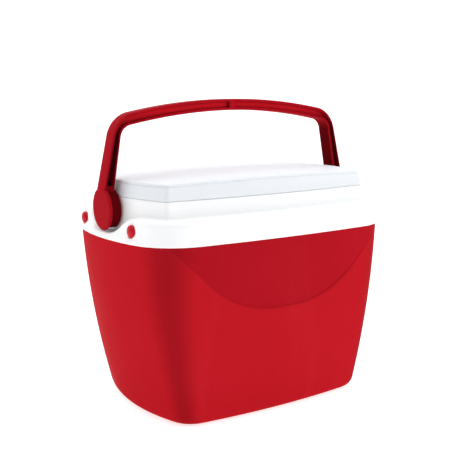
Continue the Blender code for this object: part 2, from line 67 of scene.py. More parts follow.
# collar
BAND_PROUD = 0.0021             # the lower band stands this far outside the tub
BAND_DRAFT = 0.0006
BAND_LIP = 0.0008               # rounded lower edge of the band
END_NIP = 0.0052                # the collar's ends are drawn in by this much above the seam
NIP_RISE = 0.0105               # height over which that happens
NIP_HALF = (0.0460, 0.0780)     # full up to the first distance from the middle, none past the second
LEDGE_Z = 0.1915
LEDGE_RISE = 0.0005             # fall of the ledge from the upper band to the edge
LEDGE_ROUND = (0.0014, 0.0026)  # edge radius in the bay, and what it gains on the ledge
WALL_ROUND = 0.0026             # fillet between the ledge and the upper band
COLLAR_SKIN = 0.0024
COLLAR_TOP_Z = 0.2076
TOP_ROUND = 0.0010
MOUTH_INSET = 0.0105            # the collar's mouth, in from the upper band's outside
BAY_FLOOR_Z = 0.1752
BAY_FLAT = 0.0140
BAY_HALF = 0.0480
AXLE_HOLE_R = 0.0063

# studs
STUD_Y = 0.0524
STUD_Z = 0.1812
STUD_R = 0.0059
STUD_DOME = 0.0030
STUD_SIDE = 0.0013              # straight side under the dome
STUD_SHANK_R = 0.0023
STUD_SEAT_GAP = 0.0002

# lid
LID_Z = 0.2081
LID_CORNER_Z = 0.2213
LID_ARCH = 0.0031
LID_CROWN = 0.0010
LID_DRAFT = 0.0036
LID_EDGE_ROUND = 0.0016
LID_LIP = 0.0004

# handle
PIVOT_Z = 0.1960
BOSS_R = 0.0198
BOSS_X = (0.1275, 0.1405)       # inner and outer face of a boss
BOSS_ROUND = 0.0014
HUB_R = 0.0180                  # narrower hub behind a boss's rim
AXLE_R = 0.0058
AXLE_END_X = 0.1204
GRIP_W = 0.0176
GRIP_TOP_Z = 0.2948
GRIP_LOW_Z = 0.2838
GRIP_ARCH = 0.92                # the grip falls by this much times the square of x
GRIP_ROUND = (0.0285, 0.0125)   # outer and inner radius where grip and arm meet
FLANGE = 0.0023
POCKET_DEPTH = (0.0044, 0.0028)  # depth of the channel in the grip, and what it gains on the arms
POCKET_END_ROUND = 0.0012
CENTRE_RIB = 0.0027             # half width of the rib in the middle of the grip
ARM_TOP_Z = 0.2760              # below this height the channel deepens towards its depth on the arms

# rows and columns of the meshes
FRONT_STEPS = 56
ARC_STEPS = 26
END_STEPS = 34
SECTION_QUARTER = 16
ARC_POINTS = 40
GRIP_POINTS = 80
ARM_POINTS = 60


# ---- plan outlines -----------------------------------------------------------------------------
def grown(plan, by):
    a, b, front_bow, end_bow, radius = plan
    return (a + by, b + by, front_bow, end_bow, max(radius + by, 0.0015))


def blended(low, high, t):
    return tuple(p + (q - p) * t for p, q in zip(low, high))


def front_y(plan, x):
    return -(plan[1] - plan[2] * (x / plan[0]) ** 2)


def end_x(plan, y):
    return -(plan[0] - plan[3] * (y / plan[1]) ** 2)


def fillet_touch(plan):
    a, b, front_bow, end_bow, radius = plan
    x = -(a - end_bow - radius)
    y = -(b - front_bow - radius)
    for _ in range(60):
        slope_f = 2 * front_bow * x / a ** 2
        slope_e = 2 * end_bow * y / b ** 2
        len_f = math.hypot(slope_f, 1.0)
        len_e = math.hypot(slope_e, 1.0)
        centre_x = end_x(plan, y) + radius / len_e
        centre_y = front_y(plan, x) + radius / len_f
        x = centre_x + radius * slope_f / len_f
        y = centre_y + radius * slope_e / len_e
    return x, y, centre_x, centre_y


def outline(plan):
    """Closed outline as an array of x, y, with the same number of points for every plan."""
    radius = plan[4]
    x0, y0, centre_x, centre_y = fillet_touch(plan)
    start = math.atan2(front_y(plan, x0) - centre_y, x0 - centre_x)
    end = math.atan2(y0 - centre_y, end_x(plan, y0) - centre_x)
    if start > 0:
        start -= 2 * math.pi
    if end > 0:
        end -= 2 * math.pi
    quarter = []
    for i in range(FRONT_STEPS):
        x = x0 * i / FRONT_STEPS
        quarter.append((x, front_y(plan, x)))
    for i in range(ARC_STEPS):
        turn = start + (end - start) * i / ARC_STEPS
        quarter.append((centre_x + radius * math.cos(turn), centre_y + radius * math.sin(turn)))
    for i in range(END_STEPS + 1):
        y = y0 * (1 - i / END_STEPS)
        quarter.append((end_x(plan, y), y))
    back = [(x, -y) for x, y in reversed(quarter)][1:]
    half = quarter + back
    other = [(-x, y) for x, y in reversed(half)][1:-1]
    return np.array(half + other)


def ring(plan, z):
    flat = outline(plan)
    return np.column_stack([flat, np.broadcast_to(z, len(flat))])


def eased(t):
    t = np.clip(t, 0.0, 1.0)
    return t * t * (3 - 2 * t)


def nip(y, z):
    """How far the collar's end is drawn in above the seam."""
    across = eased((NIP_HALF[1] - np.abs(y)) / (NIP_HALF[1] - NIP_HALF[0]))
    return END_NIP * across * eased((z - SEAM_Z) / NIP_RISE)


def nipped(flat, z):
    drawn = flat.copy()
    drawn[:, 0] -= np.sign(flat[:, 0]) * nip(flat[:, 1], z)
    return drawn


# ---- mesh helpers ------------------------------------------------------------------------------
def grid_faces(rows, columns, wrap_rows):
    faces = []
    last = rows if wrap_rows else rows - 1
    for r in range(last):
        a = r * columns
        b = ((r + 1) % rows) * columns
        for c in range(columns):
            d = (c + 1) % columns
            faces.append((a + c, a + d, b + d, b + c))
    return faces


def mesh_piece(name, verts, faces, sharp=38.0):
    mesh = bpy.data.meshes.new(name)
    mesh.from_pydata([tuple(map(float, v)) for v in verts], [], faces)
    bm = bmesh.new()
    bm.from_mesh(mesh)
    bmesh.ops.recalc_face_normals(bm, faces=bm.faces)
    bm.to_mesh(mesh)
    bm.free()
    mesh.shade_smooth()
    mesh.set_sharp_from_angle(angle=math.radians(sharp))
    thing = bpy.data.objects.new(name, mesh)
    bpy.context.scene.collection.objects.link(thing)
    return thing


def skin(name, rings, wrap=False, sharp=38.0):
    """Skin through rings. Open skins get both end rings filled; wrapped ones close on themselves."""
    count = len(rings[0])
    verts = np.vstack(rings)
    faces = grid_faces(len(rings), count, wrap)
    if not wrap:
        faces.append(tuple(reversed(range(count))))
        faces.append(tuple(range((len(rings) - 1) * count, len(rings) * count)))
    return mesh_piece(name, verts, faces, sharp)


def turned(profile, steps):
    """Vertices and faces of a closed turned shape about Z, from r, z points axis to axis."""
    verts = [(0.0, 0.0, profile[0][1])]
    for r, z in profile[1:-1]:
        for i in range(steps):
            turn = 2 * math.pi * i / steps
            verts.append((r * math.cos(turn), r * math.sin(turn), z))
    verts.append((0.0, 0.0, profile[-1][1]))
    faces = []
    rows = len(profile) - 2
    for i in range(steps):
        j = (i + 1) % steps
        faces.append((0, 1 + i, 1 + j))
        for r in range(rows - 1):
            a = 1 + r * steps
            b = a + steps
            faces.append((a + i, b + i, b + j, a + j))
        a = 1 + (rows - 1) * steps
        faces.append((a + i, len(verts) - 1, a + j))
    return verts, faces


def apply_modifiers(thing):
    bpy.context.view_layer.update()
    graph = bpy.context.evaluated_depsgraph_get()
    mesh = bpy.data.meshes.new_from_object(thing.evaluated_get(graph))
    thing.modifiers.clear()
    thing.data = mesh


def boolean(thing, other, operation):
    mod = thing.modifiers.new(operation.lower(), "BOOLEAN")
    mod.object = other
    mod.operation = operation
    mod.solver = "EXACT"
    apply_modifiers(thing)
    bpy.data.objects.remove(other, do_unlink=True)


def smooth_by_angle(thing, angle):
    thing.data.shade_smooth()
    thing.data.set_sharp_from_angle(angle=math.radians(angle))


# ---- tub ---------------------------------------------------------------------------------------
def tub_plan(z):
    drop = max(SEAM_Z - z, 0.0)
    plan = list(blended(TUB_TOP, TUB_FOOT, drop / SEAM_Z))
    plan[0] = TUB_TOP[0] - TAPER_A[0] * drop - TAPER_A[1] * drop ** 2
    plan[1] = TUB_TOP[1] - TAPER_B[0] * drop - TAPER_B[1] * drop ** 2
    return tuple(plan)


def smile_z(x):
    return SMILE_LOW_Z + SMILE_RISE * (np.abs(x) / SMILE_HALF) ** SMILE_POWER


def panel_edge(flat):
    """Height of the panel's edge above each outline point, and which points are on a long face."""
    on_face = np.abs(flat[:, 1]) > FACE_Y
    edge = np.minimum(smile_z(np.abs(flat[:, 0])), SEAM_Z - PANEL_MARGIN)
    return np.where(on_face, edge, SEAM_Z - PANEL_MARGIN), on_face


def tub_rows(edge):
    """Heights of the rows above the foot: up to the panel's edge, through it, and on to the top."""
    rows = []
    for i in range(1, LOWER_ROWS + 1):
        rows.append(FOOT_RADIUS + (edge - SMILE_BLEND - FOOT_RADIUS) * i / LOWER_ROWS)
    for i in range(1, EDGE_ROWS + 1):
        rows.append(edge - SMILE_BLEND + 2 * SMILE_BLEND * i / EDGE_ROWS)
    for i in range(1, UPPER_ROWS + 1):
        rows.append(edge + SMILE_BLEND + (SEAM_Z - edge - SMILE_BLEND) * i / UPPER_ROWS)
    rows.append(np.full(len(edge), TUB_EDGE_Z))
    return rows


def mark_corner_shade(tub, count):
    """Store how near each point is to the middle of a corner's round, for the material's painted shade on the
    corners.
    """
    quarter = FRONT_STEPS + ARC_STEPS + END_STEPS
    corner_shade = []
    for column in range(count):
        place = column % (2 * quarter)
        place = min(place, 2 * quarter - place)
        across = (place - FRONT_STEPS) / ARC_STEPS
        corner_shade.append(math.sin(math.pi * across) ** 2 if 0.0 < across < 1.0 else 0.0)
    mark = tub.data.attributes.new("corner_shade", "FLOAT", "POINT")
    for index, item in enumerate(mark.data):
        item.value = corner_shade[index % count]


def build_tub():
    """Outer skin whose rows follow the edge of the recessed panel, then the inside wall."""
    knots = np.linspace(0.0, SEAM_Z, 120)
    outlines = np.array([outline(tub_plan(z)) for z in knots])
    count = outlines.shape[1]
    pick = np.arange(count)
    rings = []
    for i in range(FOOT_ROWS):
        turn = math.radians(90.0 * i / (FOOT_ROWS - 1))
        z = FOOT_RADIUS * (1 - math.cos(turn))
        draw_in = FOOT_RADIUS * (1 - math.sin(turn))
        rings.append(ring(grown(tub_plan(z), -draw_in), z))
    middle = outlines[60]
    edge, on_face = panel_edge(middle)
    for z in tub_rows(edge):
        place = np.minimum(z, SEAM_Z) / SEAM_Z * (len(knots) - 1)
        k = np.minimum(place.astype(int), len(knots) - 2)
        part = (place - k)[:, None]
        flat = outlines[k, pick] * (1 - part) + outlines[k + 1, pick] * part
        inside = eased((z - edge + SMILE_BLEND) / (2 * SMILE_BLEND))
        fall = np.clip((SEAM_Z - z) / (SEAM_Z - SMILE_LOW_Z), 0.0, 1.0)
        flat[:, 1] -= np.sign(flat[:, 1]) * SMILE_STEP * inside * fall * on_face
        rings.append(np.column_stack([flat, z]))
    rings.append(ring(grown(tub_plan(TUB_EDGE_Z), -TUB_WALL), TUB_EDGE_Z))
    for i in range(1, 13):
        z = TUB_EDGE_Z + (FOOT_RADIUS + 0.002 - TUB_EDGE_Z) * i / 12
        rings.append(ring(grown(tub_plan(z), -TUB_WALL - SMILE_STEP * 0.4), z))
    rings.append(ring(grown(tub_plan(0.004), -0.0072), 0.0042))
    rings.append(ring(grown(tub_plan(0.003), -0.0110), TUB_WALL))
    tub = skin("tub_shell", rings, sharp=50.0)
    mark_corner_shade(tub, count)
    # The recessed panel's faces take the second material, which is painted shade: darker than the rest of the
    # tub.
    first_panel_ring = FOOT_ROWS + LOWER_ROWS + EDGE_ROWS // 2
    last_panel_ring = first_panel_ring + EDGE_ROWS // 2 + UPPER_ROWS + 1
    in_panel = on_face & (smile_z(middle[:, 0]) < SEAM_Z - PANEL_MARGIN)
    for face in tub.data.polygons[first_panel_ring * count:last_panel_ring * count]:
        face.material_index = int(in_panel[face.index % count])
    return tub


# ---- collar ------------------------------------------------------------------------------------
def bay_share(y):
    """0 in the floor of the bay behind the boss, 1 where the ledge is at its full height."""
    return eased((np.abs(y) - BAY_FLAT) / (BAY_HALF - BAY_FLAT))


def ledge_at(y):
    return BAY_FLOOR_Z + (LEDGE_Z - BAY_FLOOR_Z) * bay_share(y)


def build_collar():
    """One closed section carried round the plan; its ledge dips into a bay at each end."""
    band = {}

    def band_row(offset):
        if offset not in band:
            band[offset] = outline(grown(TUB_TOP, offset))
        return band[offset]

    rings = []

    def add(flat, z):
        rings.append(np.column_stack([flat, np.broadcast_to(z, len(flat))]))

    add(band_row(0.0004), SEAM_Z)
    add(band_row(BAND_PROUD - BAND_LIP), SEAM_Z)
    for i in range(1, 5):
        turn = math.radians(90.0 * i / 4)
        offset = BAND_PROUD - BAND_LIP + BAND_LIP * math.sin(turn)
        add(band_row(offset), SEAM_Z + BAND_LIP * (1 - math.cos(turn)))
    top = ledge_at(band_row(BAND_PROUD)[:, 1])
    share = bay_share(band_row(BAND_PROUD)[:, 1])
    round_r = LEDGE_ROUND[0] + LEDGE_ROUND[1] * share
    base = SEAM_Z + BAND_LIP
    for i in range(1, 17):
        t = i / 16
        z = base + (top - round_r - base) * t
        add(nipped(band_row(round(BAND_PROUD - BAND_DRAFT * t, 6)), z), z)
    edge = round(BAND_PROUD - BAND_DRAFT, 6)
    inset = LEDGE_ROUND[0] + LEDGE_ROUND[1]
    straight = nipped(band_row(edge), top)
    inward = nipped(band_row(round(edge - inset, 6)), top)
    for i in range(1, 9):
        turn = math.radians(90.0 * i / 8)
        pull = (round_r * (1 - math.cos(turn)) / inset)[:, None]
        z = top - round_r * (1 - math.sin(turn))
        add(nipped(band_row(edge), z) + (inward - straight) * pull, z)
    start = straight + (inward - straight) * (round_r / inset)[:, None]
    foot = outline(grown(RIM, WALL_ROUND))
    for i in range(1, 9):
        t = i / 8
        flat = start + (foot - start) * t
        add(flat, ledge_at(flat[:, 1]) + LEDGE_RISE * t)
    wall = outline(RIM)
    base = ledge_at(foot[:, 1]) + LEDGE_RISE
    for i in range(1, 8):
        turn = math.radians(90.0 * i / 7)
        flat = foot + (wall - foot) * math.sin(turn)
        add(flat, base + WALL_ROUND * (1 - math.cos(turn)))
    base = base + WALL_ROUND
    for i in range(1, 7):
        t = i / 6
        add(outline(grown(RIM, -0.0003 * t)), base + (COLLAR_TOP_Z - TOP_ROUND - base) * t)
    for i in range(1, 5):
        turn = math.radians(90.0 * i / 4)
        flat = outline(grown(RIM, -0.0003 - TOP_ROUND * (1 - math.cos(turn))))
        add(flat, COLLAR_TOP_Z - TOP_ROUND * (1 - math.sin(turn)))
    mouth = outline(grown(RIM, -MOUTH_INSET + 0.0003))
    add(mouth, COLLAR_TOP_Z)
    add(mouth, COLLAR_TOP_Z - 0.0022)
    add(outline(grown(RIM, -COLLAR_SKIN)), COLLAR_TOP_Z - COLLAR_SKIN)
    under = outline(grown(RIM, -0.0022))
    add(under, ledge_at(under[:, 1]) - 0.0010)
    below = band_row(-0.0008)
    under_z = ledge_at(below[:, 1]) - COLLAR_SKIN
    add(nipped(below, under_z), under_z)
    inside = band_row(0.0004)
    for i in range(8):
        z = ledge_at(inside[:, 1]) - 0.0038
        z = z + (SEAM_Z + 0.0004 - z) * i / 8
        add(nipped(inside, z), z)
    collar = skin("collar_ring", rings, wrap=True, sharp=50.0)
    for side in (-1, 1):
        verts, faces = turned([(0, -0.02), (AXLE_HOLE_R, -0.02), (AXLE_HOLE_R, 0.02), (0, 0.02)], 48)
        drill = mesh_piece("drill", verts, faces)
        turn = Matrix.Rotation(math.radians(90), 4, "Y")
        drill.data.transform(Matrix.Translation((side * RIM[0], 0, PIVOT_Z)) @ turn)
        boolean(collar, drill, "DIFFERENCE")
    for place in stud_places().values():
        seat_r = STUD_R + STUD_SEAT_GAP
        verts, faces = turned([(0, -0.0004), (seat_r, -0.0004), (seat_r, 0.012), (0, 0.012)], 64)
        seat = mesh_piece("seat", verts, faces)
        seat.data.transform(place)
        boolean(collar, seat, "DIFFERENCE")
    smooth_by_angle(collar, 50.0)
    return collar


# ---- studs -------------------------------------------------------------------------------------
def stud_places():
    """Frames on the drawn-in ends of the collar, Z pointing outwards."""
    plan = grown(TUB_TOP, BAND_PROUD - 0.0004)

    def end_at(y):
        return -end_x(plan, y) - nip(y, SEAM_Z + NIP_RISE)

    places = {}
    for side_x, label_x in ((-1, "left"), (1, "right")):
        for side_y, label_y in ((-1, "front"), (1, "rear")):
            y = side_y * STUD_Y
            slope = (end_at(y + 0.0005) - end_at(y - 0.0005)) / 0.001
            out = Vector((side_x, -slope, 0.0)).normalized()
            spot = Vector((side_x * float(end_at(y)), y, STUD_Z))
            turn = out.to_track_quat("Z", "Y").to_matrix().to_4x4()
            places["stud_%s_%s" % (label_y, label_x)] = Matrix.Translation(spot) @ turn
    return places


def build_studs():
    """Domed head, then the shank behind it."""
    profile = [(0.0, STUD_SIDE + STUD_DOME)]
    for i in range(1, 13):
        turn = math.radians(90.0 * i / 12)
        profile.append((STUD_R * math.sin(turn), STUD_SIDE + STUD_DOME * math.cos(turn)))
    profile += [(STUD_R, 0.0006), (STUD_R, -0.0003)]
    profile += [(STUD_SHANK_R, -0.0003), (STUD_SHANK_R, -0.0060), (0.0, -0.0070)]
    studs = []
    for name, place in stud_places().items():
        verts, faces = turned(profile, 48)
        stud = mesh_piece(name.replace("stud", "plug"), verts, faces, 40.0)
        stud.data.transform(place)
        studs.append((stud, name))
    return studs


# ---- lid ---------------------------------------------------------------------------------------
def crowned(offset, scale, drop):
    """Ring on the lid's arched top, scaled towards the middle and lowered by drop."""
    half_a = RIM[0] - LID_DRAFT
    half_b = RIM[1] - LID_DRAFT
    flat = outline(grown(RIM, offset)) * scale
    arch = LID_ARCH * (1 - np.minimum(np.abs(flat[:, 0]) / half_a, 1.0) ** 2)
    crown = LID_CROWN * (1 - np.minimum(np.abs(flat[:, 1]) / half_b, 1.0) ** 2)
    return np.column_stack([flat, LID_CORNER_Z + arch + crown - drop])


def build_lid():
    """Skirt with a slight draft, a fine shadow groove, and an arched top with a rounded edge."""
    low = LID_Z - 0.0002
    outer = [ring(grown(RIM, -0.0012), low)]
    for i in range(1, 4):
        turn = math.radians(90.0 * i / 3)
        offset = -LID_LIP + LID_LIP * math.sin(turn)
        outer.append(ring(grown(RIM, offset), low + LID_LIP * (1 - math.cos(turn))))
    skirt_low = ring(RIM, low + LID_LIP)
    skirt_high = crowned(-LID_DRAFT + 0.0004, 1.0, 0.0026)
    for i in range(1, 9):
        outer.append(skirt_low + (skirt_high - skirt_low) * i / 8)
    outer.append(crowned(-LID_DRAFT - 0.0002, 1.0, 0.0023))
    outer.append(crowned(-LID_DRAFT - 0.0002, 1.0, 0.0019))
    outer.append(crowned(-LID_DRAFT + 0.0002, 1.0, LID_EDGE_ROUND))
    for i in range(1, 8):
        turn = math.radians(90.0 * i / 7)
        offset = -LID_DRAFT + 0.0002 - LID_EDGE_ROUND * (1 - math.cos(turn))
        outer.append(crowned(offset, 1.0, LID_EDGE_ROUND * (1 - math.sin(turn))))
    for i in range(1, 25):
        outer.append(crowned(-LID_DRAFT - 0.0014, 1.0 - 0.99 * i / 24, 0.0))
    inner = [ring(grown(RIM, -0.0020), LID_Z + 0.0002)]
    inner.append(crowned(-LID_DRAFT - 0.0022, 1.0, 0.0036))
    for i in range(1, 9):
        inner.append(crowned(-LID_DRAFT - 0.0036, 1.0 - 0.99 * i / 8, 0.0020))
    return skin("lid_shell", outer[::-1] + inner, sharp=50.0)


# ---- handle ------------------------------------------------------------------------------------
def arm_outer(z):
    """Outer edge of the arm, which leans outwards until it meets the boss."""
    return min(0.1296 + 0.228 * (0.2600 - z), BOSS_X[1] - 0.0002)


def arm_inner(z):
    return min(0.1262 + 0.170 * (0.2333 - z), BOSS_X[0] + 0.0022)


def fillet(before, corner, after, radius, steps):
    """Arc of the given radius between two lines that meet at corner, and how far it reaches."""
    ax, az = before[0] - corner[0], before[1] - corner[1]
    bx, bz = after[0] - corner[0], after[1] - corner[1]
    la, lb = math.hypot(ax, az), math.hypot(bx, bz)
    ax, az, bx, bz = ax / la, az / la, bx / lb, bz / lb
    half = math.acos(ax * bx + az * bz) / 2
    reach = radius / math.tan(half)
    depth = radius / math.sin(half)
    mx, mz = ax + bx, az + bz
    lm = math.hypot(mx, mz)
    cx, cz = corner[0] + mx / lm * depth, corner[1] + mz / lm * depth
    start = math.atan2(corner[1] + az * reach - cz, corner[0] + ax * reach - cx)
    end = math.atan2(corner[1] + bz * reach - cz, corner[0] + bx * reach - cx)
    points = []
    for i in range(steps + 1):
        turn = start + (end - start) * i / steps
        points.append((cx + radius * math.cos(turn), cz + radius * math.sin(turn)))
    return points, reach


def handle_edge(top_z, arm, radius, foot_z):
    """Half of one handle edge with dense points: grip, corner round, arm."""
    z = top_z
    for _ in range(40):
        x = arm(z)
        z = top_z - GRIP_ARCH * x * x
    corner = (x, z)
    before = (x - 0.010, top_z - GRIP_ARCH * (x - 0.010) ** 2)
    after = (arm(z - 0.030), z - 0.030)
    arc, reach = fillet(before, corner, after, radius, ARC_POINTS)
    points = []
    last = corner[0] - reach - 0.0012
    for i in range(GRIP_POINTS):
        px = last * i / (GRIP_POINTS - 1)
        points.append((px, top_z - GRIP_ARCH * px * px))
    points += arc
    start_z = arc[-1][1]
    for i in range(1, ARM_POINTS + 1):
        pz = start_z + (foot_z - start_z) * i / ARM_POINTS
        points.append((arm(pz), pz))
    return np.array(points)


def handle_section(half_w, half_t, pocket_h, pocket_w):
    """Closed section as (y, n): rounded outside, a filleted pocket in the front and in the back."""
    corner = min(0.0015, half_t * 0.45)
    web = half_w - pocket_w
    half = []
    for i in range(7):
        turn = math.radians(90.0 * i / 6)
        half.append((-half_w + corner * (1 - math.sin(turn)), half_t - corner * (1 - math.cos(turn))))
    lip = 0.0004
    half.append((-half_w, pocket_h + lip))
    for i in range(1, 4):
        turn = math.radians(90.0 * i / 3)
        y = -half_w + min(lip, pocket_w) * (1 - math.cos(turn))
        half.append((y, pocket_h + lip * (1 - math.sin(turn))))
    floor_r = min(0.0007, pocket_h * 0.6, pocket_w * 0.5)
    half.append((-web - floor_r, pocket_h))
    for i in range(1, 5):
        turn = math.radians(90.0 * i / 4)
        y = -web - floor_r * (1 - math.sin(turn))
        half.append((y, pocket_h - floor_r * (1 - math.cos(turn))))
    front = half + [(y, -n) for y, n in reversed(half)]
    return front + [(-y, n) for y, n in reversed(front)]


def build_boss(side):
    """Round boss with a narrower hub behind its rim and a stub axle that points inwards."""
    x_in, x_out = BOSS_X
    profile = [(0.0, x_out), (0.0120, x_out), (0.0165, x_out - 0.0001)]
    for i in range(7):
        turn = math.radians(90.0 * i / 6)
        r = BOSS_R - BOSS_ROUND + BOSS_ROUND * math.sin(turn)
        profile.append((r, x_out - 0.0002 - 0.0012 * (1 - math.cos(turn))))
    profile += [(BOSS_R, x_out - 0.0030), (BOSS_R - 0.0004, x_out - 0.0034)]
    hub_x = profile[-1][1]
    profile += [(HUB_R + 0.0003, x_out - 0.0036), (HUB_R, x_out - 0.0042), (HUB_R, x_in + 0.0006)]
    profile += [(HUB_R - 0.0006, x_in), (0.0060, x_in), (0.0060, 0.1228), (0.0071, 0.1222)]
    profile += [(0.0071, 0.1212), (AXLE_R, AXLE_END_X), (0.0, AXLE_END_X)]
    verts, faces = turned(profile, 96)
    verts = [(side * z, y, PIVOT_Z + x) for x, y, z in verts]
    boss = mesh_piece("boss", verts, faces)
    # The hub's side takes the second material, which is painted shade: near black, as if in shadow.
    for face in boss.data.polygons:
        radius = math.hypot(face.center.y, face.center.z - PIVOT_Z)
        if 0.0176 < radius and abs(face.center.x) < hub_x:
            face.material_index = 1
    return boss


def handle_stops(run, rib_at):
    """Distances along the handle at which a section is placed, close together at the pocket's ends."""
    stops = list(np.linspace(0.0, run[-1], 150))
    for mark, way in ((CENTRE_RIB, 1), (rib_at, -1)):
        for i in range(7):
            stops.append(mark + way * POCKET_END_ROUND * (1 - math.cos(math.radians(15.0 * i))))
        stops += [mark - way * 0.00008, mark - way * 0.0006]
    return np.array(sorted(set(round(float(s), 6) for s in stops if s >= 0)))


def mark_channel_shade(handle, bands):
    """Material 1 in the channel, 2 on its flanges' edges, 0 elsewhere; 1 and 2 carry painted shade."""
    around = 4 * SECTION_QUARTER
    for face in handle.data.polygons[:bands * around]:
        column = face.index % around
        if 8 <= column <= 22 or 40 <= column <= 54 or 30 <= column <= 32:
            face.material_index = 1
        elif 4 <= column <= 26 or 36 <= column <= 58:
            face.material_index = 2


def build_handle():
    """Half the handle as sections along its middle line, mirrored, with a boss at each end."""
    outer = handle_edge(GRIP_TOP_Z, arm_outer, GRIP_ROUND[0], PIVOT_Z)
    inner = handle_edge(GRIP_LOW_Z, arm_inner, GRIP_ROUND[1], PIVOT_Z)
    middle = (outer + inner) / 2
    run = np.concatenate([[0.0], np.cumsum(np.hypot(*np.diff(middle, axis=0).T))])
    rib_z = PIVOT_Z + BOSS_R + 0.0016
    rib_at = float(np.interp(-rib_z, -middle[GRIP_POINTS:, 1], run[GRIP_POINTS:]))
    sections = []
    for s in handle_stops(run, rib_at):
        po = np.array([np.interp(s, run, outer[:, i]) for i in (0, 1)])
        pi = np.array([np.interp(s, run, inner[:, i]) for i in (0, 1)])
        mid = (po + pi) / 2
        normal = (po - pi) / np.linalg.norm(po - pi)
        half_t = np.linalg.norm(po - pi) / 2
        inside = min(s - CENTRE_RIB, rib_at - s)
        if inside <= 0:
            pocket_h, pocket_w = 0.00005, 0.00004
        else:
            near = min(inside / POCKET_END_ROUND, 1.0)
            rounding = POCKET_END_ROUND * (1 - math.sqrt(max(1 - (1 - near) ** 2, 0.0)))
            pocket_h = max(half_t - FLANGE - rounding, 0.00005)
            on_arm = float(eased((ARM_TOP_Z - mid[1]) / 0.020))
            pocket_w = POCKET_DEPTH[0] + POCKET_DEPTH[1] * on_arm
        shape = handle_section(GRIP_W / 2, half_t, pocket_h, pocket_w)
        sections.append([(mid[0] + n * normal[0], y, mid[1] + n * normal[1]) for y, n in shape])
    right = [np.array(s) for s in sections]
    left = [s * np.array([-1, 1, 1]) for s in reversed(right[1:])]
    handle = skin("handle_bail", left + right, sharp=42.0)
    mark_channel_shade(handle, len(left + right) - 1)
    for side in (-1, 1):
        boolean(handle, build_boss(side), "UNION")
    smooth_by_angle(handle, 42.0)
    return handle


# ---- materials ---------------------------------------------------------------------------------
class Nodes:
    """Small helper that wires one material."""

    def __init__(self, name):
        self.mat = bpy.data.materials.new(name)
        self.mat.use_nodes = True
        self.tree = self.mat.node_tree
        self.shader = self.tree.nodes["Principled BSDF"]
        self.coords = self.tree.nodes.new("ShaderNodeTexCoord").outputs["Object"]

    def node(self, kind, **values):
        made = self.tree.nodes.new(kind)
        for key, value in values.items():
            if key in made.inputs:
                made.inputs[key].default_value = value
            else:
                setattr(made, key, value)
        return made

    def link(self, source, target):
        self.tree.links.new(source, target)

    def noise(self, scale, detail=3.0, roughness=0.55, squash=None):
        made = self.node("ShaderNodeTexNoise", Scale=scale, Detail=detail, Roughness=roughness)
        source = self.coords
        if squash:
            mapping = self.node("ShaderNodeMapping")
            mapping.inputs["Scale"].default_value = squash
            self.link(source, mapping.inputs["Vector"])
            source = mapping.outputs["Vector"]
        self.link(source, made.inputs["Vector"])
        return made.outputs["Fac"]

    def spread(self, source, low_in, high_in, low, high):
        made = self.node("ShaderNodeMapRange")
        made.inputs["From Min"].default_value = low_in
        made.inputs["From Max"].default_value = high_in
        made.inputs["To Min"].default_value = low
        made.inputs["To Max"].default_value = high
        self.link(source, made.inputs["Value"])
        return made.outputs["Result"]

    def mix(self, factor, first, second):
        made = self.node("ShaderNodeMix", data_type="RGBA")
        self.link(factor, made.inputs["Factor"])
        for socket, value in ((made.inputs[6], first), (made.inputs[7], second)):
            if isinstance(value, tuple):
                socket.default_value = (*value, 1.0)
            else:
                self.link(value, socket)
        return made.outputs[2]

    def dim(self, colour, factor):
        made = self.node("ShaderNodeVectorMath", operation="SCALE")
        self.link(colour, made.inputs[0])
        self.link(factor, made.inputs["Scale"])
        return made.outputs[0]

    def add(self, first, second):
        made = self.node("ShaderNodeMath", operation="ADD")
        self.link(first, made.inputs[0])
        self.link(second, made.inputs[1])
        return made.outputs[0]

    def times(self, source, factor):
        made = self.node("ShaderNodeMath", operation="MULTIPLY")
        self.link(source, made.inputs[0])
        made.inputs[1].default_value = factor
        return made.outputs[0]

    def bump(self, height, strength, distance):
        made = self.node("ShaderNodeBump", Strength=strength, Distance=distance)
        self.link(height, made.inputs["Height"])
        self.link(made.outputs["Normal"], self.shader.inputs["Normal"])


def linear(r, g, b):
    """Scene-linear colour of an sRGB colour given as 0 to 255."""
    colour = []
    for c in (r / 255, g / 255, b / 255):
        colour.append(c / 12.92 if c <= 0.04045 else ((c + 0.055) / 1.055) ** 2.4)
    return tuple(colour)


